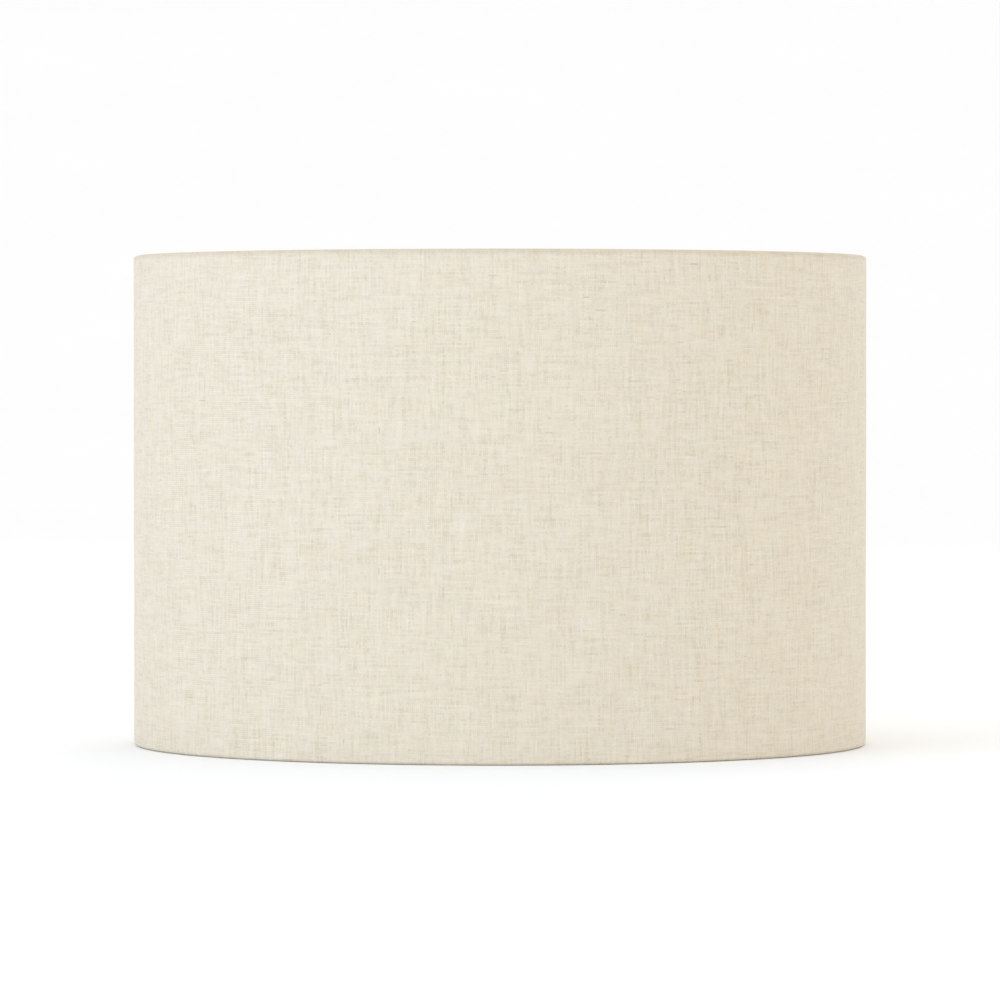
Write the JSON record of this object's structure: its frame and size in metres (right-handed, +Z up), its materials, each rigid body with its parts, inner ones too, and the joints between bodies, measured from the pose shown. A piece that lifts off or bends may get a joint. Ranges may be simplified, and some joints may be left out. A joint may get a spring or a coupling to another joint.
{
  "type": "drum lamp shade",
  "caption": "Straight drum lamp shade of linen on a stiff liner, with rolled rims over wire rings and a low three-armed ring fitter.",
  "frame": {"origin": "middle of the bottom rim, on the plane that the rim stands on", "axes": "+Z up along the drum's axis; -Y is the front; the lapped seam of the panel is at the back, +Y"},
  "size_m": [0.45, 0.4518, 0.3],
  "materials": {
    "linen": "undyed plain-weave linen, matt, with slubs",
    "liner_sheet": "satin white sheet",
    "sticky_tape": "matt",
    "coated_steel": "satin white powder coat",
    "reducer_plastic": "moulded, satin"
  },
  "bodies": {
    "shade": {"cover_cloth": "linen", "liner": "liner_sheet", "seam_tape": "sticky_tape", "top_ring": "coated_steel", "bottom_ring": "coated_steel", "top_ring_tape": "sticky_tape", "bottom_ring_tape": "sticky_tape", "fitter_arm_1": "coated_steel", "fitter_arm_2": "coated_steel", "fitter_arm_3": "coated_steel", "fitter_collar": "coated_steel"},
    "reducer": {"reducer_ring": "reducer_plastic"}
  },
  "joints": [
    {"name": "reducer_lift", "type": "slide", "parent": "shade", "child": "reducer", "axis": [0, 0, 1], "range_m": [0, 0.3]}
  ]
}
